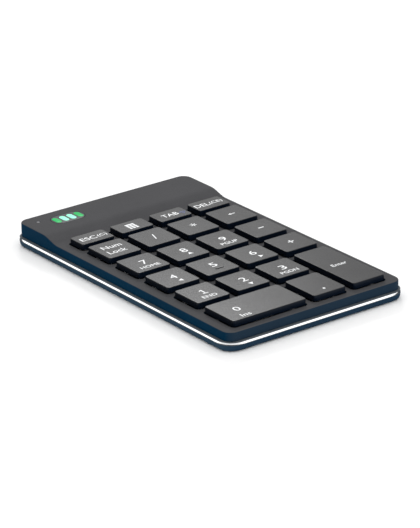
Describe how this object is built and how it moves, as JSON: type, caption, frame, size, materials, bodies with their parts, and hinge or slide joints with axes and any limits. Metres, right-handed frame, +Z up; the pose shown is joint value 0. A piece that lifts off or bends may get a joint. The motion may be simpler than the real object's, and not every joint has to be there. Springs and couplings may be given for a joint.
{
  "type": "numeric keypad",
  "caption": "Slim wireless numeric keypad with low scissor-switch keys, a raised back bay with a status light, and a white strip round the rim.",
  "frame": {"origin": "centre of the footprint, on the surface that the feet rest on", "axes": "+Z up, +Y along the length towards the raised back bay, +X to the user's right"},
  "size_m": [0.0856, 0.1418, 0.0101],
  "materials": {
    "cover_plastic": "fine matte texture",
    "lower_case_plastic": "fine matte texture",
    "keycap_plastic": "fine matte texture, satin edges",
    "white_strip": "satin",
    "lever_plastic": "natural moulded",
    "steel": "zinc plated",
    "switch_film": "clear printed film",
    "silicone": "translucent moulded rubber",
    "circuit_board": "solder mask",
    "battery_pouch": "laminated foil",
    "foot_rubber": "matte",
    "switch_plastic": "fine matte texture",
    "status_light": "translucent, lit from behind",
    "clear_light": "translucent",
    "legend_print": "printed ink"
  },
  "bodies": {
    "case": {"top_cover": "cover_plastic", "bottom_cover": "lower_case_plastic", "trim_strip": "white_strip", "key_plate": "steel", "dome_mat": "silicone", "membrane": "switch_film", "foot_front": "foot_rubber", "foot_back": "foot_rubber", "circuit_board": "circuit_board", "battery": "battery_pouch", "charge_socket": "steel", "status_light_window": "status_light", "charge_light_window": "clear_light"},
    "keycap_escape": {"keycap_escape": "keycap_plastic"},
    "scissor_escape": {"scissor_escape": "lever_plastic"},
    "keycap_calculator": {"keycap_calculator": "keycap_plastic"},
    "scissor_calculator": {"scissor_calculator": "lever_plastic"},
    "keycap_tab": {"keycap_tab": "keycap_plastic"},
    "scissor_tab": {"scissor_tab": "lever_plastic"},
    "keycap_delete": {"keycap_delete": "keycap_plastic"},
    "scissor_delete": {"scissor_delete": "lever_plastic"},
    "keycap_num_lock": {"keycap_num_lock": "keycap_plastic"},
    "scissor_num_lock": {"scissor_num_lock": "lever_plastic"},
    "keycap_divide": {"keycap_divide": "keycap_plastic"},
    "scissor_divide": {"scissor_divide": "lever_plastic"},
    "keycap_multiply": {"keycap_multiply": "keycap_plastic"},
    "scissor_multiply": {"scissor_multiply": "lever_plastic"},
    "keycap_backspace": {"keycap_backspace": "keycap_plastic"},
    "scissor_backspace": {"scissor_backspace": "lever_plastic"},
    "keycap_7": {"keycap_7": "keycap_plastic"},
    "scissor_7": {"scissor_7": "lever_plastic"},
    "keycap_8": {"keycap_8": "keycap_plastic"},
    "scissor_8": {"scissor_8": "lever_plastic"},
    "keycap_9": {"keycap_9": "keycap_plastic"},
    "scissor_9": {"scissor_9": "lever_plastic"},
    "keycap_minus": {"keycap_minus": "keycap_plastic"},
    "scissor_minus": {"scissor_minus": "lever_plastic"},
    "keycap_4": {"keycap_4": "keycap_plastic"},
    "scissor_4": {"scissor_4": "lever_plastic"},
    "keycap_5": {"keycap_5": "keycap_plastic"},
    "scissor_5": {"scissor_5": "lever_plastic"},
    "keycap_6": {"keycap_6": "keycap_plastic"},
    "scissor_6": {"scissor_6": "lever_plastic"},
    "keycap_plus": {"keycap_plus": "keycap_plastic"},
    "scissor_plus": {"scissor_plus": "lever_plastic"},
    "keycap_1": {"keycap_1": "keycap_plastic"},
    "scissor_1": {"scissor_1": "lever_plastic"},
    "keycap_2": {"keycap_2": "keycap_plastic"},
    "scissor_2": {"scissor_2": "lever_plastic"},
    "keycap_3": {"keycap_3": "keycap_plastic"},
    "scissor_3": {"scissor_3": "lever_plastic"},
    "keycap_0": {"keycap_0": "keycap_plastic"},
    "scissor_0": {"scissor_0": "lever_plastic"},
    "stabiliser_bar_0": {"stabiliser_bar_0": "steel"},
    "keycap_decimal": {"keycap_decimal": "keycap_plastic"},
    "scissor_decimal": {"scissor_decimal": "lever_plastic"},
    "keycap_enter": {"keycap_enter": "keycap_plastic"},
    "scissor_enter": {"scissor_enter": "lever_plastic"},
    "stabiliser_bar_enter": {"stabiliser_bar_enter": "steel"},
    "power_switch": {"power_switch": "switch_plastic"}
  },
  "joints": [
    {"name": "press_escape", "type": "slide", "parent": "case", "child": "keycap_escape", "axis": [0, 0, -1], "range_m": [0, 0.0018], "stiffness_N_per_m": 280, "springref_m": -0.0007, "deforming": ["dome_mat"]},
    {"name": "lever_escape", "type": "hinge", "parent": "case", "child": "scissor_escape", "pos_m": [-0.0335, 0.0361, 0.0057], "axis": [0, 1, 0], "range_deg": [0, 10.3]},
    {"name": "press_calculator", "type": "slide", "parent": "case", "child": "keycap_calculator", "axis": [0, 0, -1], "range_m": [0, 0.0018], "stiffness_N_per_m": 280, "springref_m": -0.0007, "deforming": ["dome_mat"]},
    {"name": "lever_calculator", "type": "hinge", "parent": "case", "child": "scissor_calculator", "pos_m": [-0.0145, 0.0361, 0.0057], "axis": [0, 1, 0], "range_deg": [0, 10.3]},
    {"name": "press_tab", "type": "slide", "parent": "case", "child": "keycap_tab", "axis": [0, 0, -1], "range_m": [0, 0.0018], "stiffness_N_per_m": 280, "springref_m": -0.0007, "deforming": ["dome_mat"]},
    {"name": "lever_tab", "type": "hinge", "parent": "case", "child": "scissor_tab", "pos_m": [0.0045, 0.0361, 0.0057], "axis": [0, 1, 0], "range_deg": [0, 10.3]},
    {"name": "press_delete", "type": "slide", "parent": "case", "child": "keycap_delete", "axis": [0, 0, -1], "range_m": [0, 0.0018], "stiffness_N_per_m": 280, "springref_m": -0.0007, "deforming": ["dome_mat"]},
    {"name": "lever_delete", "type": "hinge", "parent": "case", "child": "scissor_delete", "pos_m": [0.0235, 0.0361, 0.0057], "axis": [0, 1, 0], "range_deg": [0, 10.3]},
    {"name": "press_num_lock", "type": "slide", "parent": "case", "child": "keycap_num_lock", "axis": [0, 0, -1], "range_m": [0, 0.0018], "stiffness_N_per_m": 280, "springref_m": -0.0007, "deforming": ["dome_mat"]},
    {"name": "lever_num_lock", "type": "hinge", "parent": "case", "child": "scissor_num_lock", "pos_m": [-0.0285, 0.0259, 0.0057], "axis": [1, 0, 0], "range_deg": [0, 10.3]},
    {"name": "press_divide", "type": "slide", "parent": "case", "child": "keycap_divide", "axis": [0, 0, -1], "range_m": [0, 0.0018], "stiffness_N_per_m": 280, "springref_m": -0.0007, "deforming": ["dome_mat"]},
    {"name": "lever_divide", "type": "hinge", "parent": "case", "child": "scissor_divide", "pos_m": [-0.0095, 0.0259, 0.0057], "axis": [1, 0, 0], "range_deg": [0, 10.3]},
    {"name": "press_multiply", "type": "slide", "parent": "case", "child": "keycap_multiply", "axis": [0, 0, -1], "range_m": [0, 0.0018], "stiffness_N_per_m": 280, "springref_m": -0.0007, "deforming": ["dome_mat"]},
    {"name": "lever_multiply", "type": "hinge", "parent": "case", "child": "scissor_multiply", "pos_m": [0.0095, 0.0259, 0.0057], "axis": [1, 0, 0], "range_deg": [0, 10.3]},
    {"name": "press_backspace", "type": "slide", "parent": "case", "child": "keycap_backspace", "axis": [0, 0, -1], "range_m": [0, 0.0018], "stiffness_N_per_m": 280, "springref_m": -0.0007, "deforming": ["dome_mat"]},
    {"name": "lever_backspace", "type": "hinge", "parent": "case", "child": "scissor_backspace", "pos_m": [0.0285, 0.0259, 0.0057], "axis": [1, 0, 0], "range_deg": [0, 10.3]},
    {"name": "press_7", "type": "slide", "parent": "case", "child": "keycap_7", "axis": [0, 0, -1], "range_m": [0, 0.0018], "stiffness_N_per_m": 280, "springref_m": -0.0007, "deforming": ["dome_mat"]},
    {"name": "lever_7", "type": "hinge", "parent": "case", "child": "scissor_7", "pos_m": [-0.0285, 0.0069, 0.0057], "axis": [1, 0, 0], "range_deg": [0, 10.3]},
    {"name": "press_8", "type": "slide", "parent": "case", "child": "keycap_8", "axis": [0, 0, -1], "range_m": [0, 0.0018], "stiffness_N_per_m": 280, "springref_m": -0.0007, "deforming": ["dome_mat"]},
    {"name": "lever_8", "type": "hinge", "parent": "case", "child": "scissor_8", "pos_m": [-0.0095, 0.0069, 0.0057], "axis": [1, 0, 0], "range_deg": [0, 10.3]},
    {"name": "press_9", "type": "slide", "parent": "case", "child": "keycap_9", "axis": [0, 0, -1], "range_m": [0, 0.0018], "stiffness_N_per_m": 280, "springref_m": -0.0007, "deforming": ["dome_mat"]},
    {"name": "lever_9", "type": "hinge", "parent": "case", "child": "scissor_9", "pos_m": [0.0095, 0.0069, 0.0057], "axis": [1, 0, 0], "range_deg": [0, 10.3]},
    {"name": "press_minus", "type": "slide", "parent": "case", "child": "keycap_minus", "axis": [0, 0, -1], "range_m": [0, 0.0018], "stiffness_N_per_m": 280, "springref_m": -0.0007, "deforming": ["dome_mat"]},
    {"name": "lever_minus", "type": "hinge", "parent": "case", "child": "scissor_minus", "pos_m": [0.0285, 0.0069, 0.0057], "axis": [1, 0, 0], "range_deg": [0, 10.3]},
    {"name": "press_4", "type": "slide", "parent": "case", "child": "keycap_4", "axis": [0, 0, -1], "range_m": [0, 0.0018], "stiffness_N_per_m": 280, "springref_m": -0.0007, "deforming": ["dome_mat"]},
    {"name": "lever_4", "type": "hinge", "parent": "case", "child": "scissor_4", "pos_m": [-0.0285, -0.0121, 0.0057], "axis": [1, 0, 0], "range_deg": [0, 10.3]},
    {"name": "press_5", "type": "slide", "parent": "case", "child": "keycap_5", "axis": [0, 0, -1], "range_m": [0, 0.0018], "stiffness_N_per_m": 280, "springref_m": -0.0007, "deforming": ["dome_mat"]},
    {"name": "lever_5", "type": "hinge", "parent": "case", "child": "scissor_5", "pos_m": [-0.0095, -0.0121, 0.0057], "axis": [1, 0, 0], "range_deg": [0, 10.3]},
    {"name": "press_6", "type": "slide", "parent": "case", "child": "keycap_6", "axis": [0, 0, -1], "range_m": [0, 0.0018], "stiffness_N_per_m": 280, "springref_m": -0.0007, "deforming": ["dome_mat"]},
    {"name": "lever_6", "type": "hinge", "parent": "case", "child": "scissor_6", "pos_m": [0.0095, -0.0121, 0.0057], "axis": [1, 0, 0], "range_deg": [0, 10.3]},
    {"name": "press_plus", "type": "slide", "parent": "case", "child": "keycap_plus", "axis": [0, 0, -1], "range_m": [0, 0.0018], "stiffness_N_per_m": 280, "springref_m": -0.0007, "deforming": ["dome_mat"]},
    {"name": "lever_plus", "type": "hinge", "parent": "case", "child": "scissor_plus", "pos_m": [0.0285, -0.0121, 0.0057], "axis": [1, 0, 0], "range_deg": [0, 10.3]},
    {"name": "press_1", "type": "slide", "parent": "case", "child": "keycap_1", "axis": [0, 0, -1], "range_m": [0, 0.0018], "stiffness_N_per_m": 280, "springref_m": -0.0007, "deforming": ["dome_mat"]},
    {"name": "lever_1", "type": "hinge", "parent": "case", "child": "scissor_1", "pos_m": [-0.0285, -0.0311, 0.0057], "axis": [1, 0, 0], "range_deg": [0, 10.3]},
    {"name": "press_2", "type": "slide", "parent": "case", "child": "keycap_2", "axis": [0, 0, -1], "range_m": [0, 0.0018], "stiffness_N_per_m": 280, "springref_m": -0.0007, "deforming": ["dome_mat"]},
    {"name": "lever_2", "type": "hinge", "parent": "case", "child": "scissor_2", "pos_m": [-0.0095, -0.0311, 0.0057], "axis": [1, 0, 0], "range_deg": [0, 10.3]},
    {"name": "press_3", "type": "slide", "parent": "case", "child": "keycap_3", "axis": [0, 0, -1], "range_m": [0, 0.0018], "stiffness_N_per_m": 280, "springref_m": -0.0007, "deforming": ["dome_mat"]},
    {"name": "lever_3", "type": "hinge", "parent": "case", "child": "scissor_3", "pos_m": [0.0095, -0.0311, 0.0057], "axis": [1, 0, 0], "range_deg": [0, 10.3]},
    {"name": "press_0", "type": "slide", "parent": "case", "child": "keycap_0", "axis": [0, 0, -1], "range_m": [0, 0.0018], "stiffness_N_per_m": 280, "springref_m": -0.0007, "deforming": ["dome_mat"]},
    {"name": "lever_0", "type": "hinge", "parent": "case", "child": "scissor_0", "pos_m": [-0.019, -0.05145, 0.0057], "axis": [1, 0, 0], "range_deg": [0, 10.3]},
    {"name": "stabiliser_0", "type": "hinge", "parent": "case", "child": "stabiliser_bar_0", "pos_m": [-0.019, -0.04965, 0.0057], "axis": [1, 0, 0], "range_deg": [0, 16.6]},
    {"name": "press_decimal", "type": "slide", "parent": "case", "child": "keycap_decimal", "axis": [0, 0, -1], "range_m": [0, 0.0018], "stiffness_N_per_m": 280, "springref_m": -0.0007, "deforming": ["dome_mat"]},
    {"name": "lever_decimal", "type": "hinge", "parent": "case", "child": "scissor_decimal", "pos_m": [0.0095, -0.05145, 0.0057], "axis": [1, 0, 0], "range_deg": [0, 10.3]},
    {"name": "press_enter", "type": "slide", "parent": "case", "child": "keycap_enter", "axis": [0, 0, -1], "range_m": [0, 0.0018], "stiffness_N_per_m": 280, "springref_m": -0.0007, "deforming": ["dome_mat"]},
    {"name": "lever_enter", "type": "hinge", "parent": "case", "child": "scissor_enter", "pos_m": [0.0235, -0.047, 0.0057], "axis": [0, 1, 0], "range_deg": [0, 12.7]},
    {"name": "stabiliser_enter", "type": "hinge", "parent": "case", "child": "stabiliser_bar_enter", "pos_m": [0.0337, -0.047, 0.0057], "axis": [0, -1, 0], "range_deg": [0, 16.6]},
    {"name": "power_switch_slide", "type": "slide", "parent": "case", "child": "power_switch", "axis": [1, 0, 0], "range_m": [0, 0.002]}
  ],
  "couplings": [
    {"joint": "lever_escape", "follows": "press_escape", "rad_per_m": 98.427},
    {"joint": "lever_calculator", "follows": "press_calculator", "rad_per_m": 98.427},
    {"joint": "lever_tab", "follows": "press_tab", "rad_per_m": 98.427},
    {"joint": "lever_delete", "follows": "press_delete", "rad_per_m": 98.427},
    {"joint": "lever_num_lock", "follows": "press_num_lock", "rad_per_m": 98.427},
    {"joint": "lever_divide", "follows": "press_divide", "rad_per_m": 98.427},
    {"joint": "lever_multiply", "follows": "press_multiply", "rad_per_m": 98.427},
    {"joint": "lever_backspace", "follows": "press_backspace", "rad_per_m": 98.427},
    {"joint": "lever_7", "follows": "press_7", "rad_per_m": 98.427},
    {"joint": "lever_8", "follows": "press_8", "rad_per_m": 98.427},
    {"joint": "lever_9", "follows": "press_9", "rad_per_m": 98.427},
    {"joint": "lever_minus", "follows": "press_minus", "rad_per_m": 98.427},
    {"joint": "lever_4", "follows": "press_4", "rad_per_m": 98.427},
    {"joint": "lever_5", "follows": "press_5", "rad_per_m": 98.427},
    {"joint": "lever_6", "follows": "press_6", "rad_per_m": 98.427},
    {"joint": "lever_plus", "follows": "press_plus", "rad_per_m": 98.427},
    {"joint": "lever_1", "follows": "press_1", "rad_per_m": 98.427},
    {"joint": "lever_2", "follows": "press_2", "rad_per_m": 98.427},
    {"joint": "lever_3", "follows": "press_3", "rad_per_m": 98.427},
    {"joint": "lever_0", "follows": "press_0", "rad_per_m": 98.427},
    {"joint": "stabiliser_0", "follows": "press_0", "rad_per_m": 159.74},
    {"joint": "lever_decimal", "follows": "press_decimal", "rad_per_m": 98.427},
    {"joint": "lever_enter", "follows": "press_enter", "rad_per_m": 121.98},
    {"joint": "stabiliser_enter", "follows": "press_enter", "rad_per_m": 159.74}
  ]
}
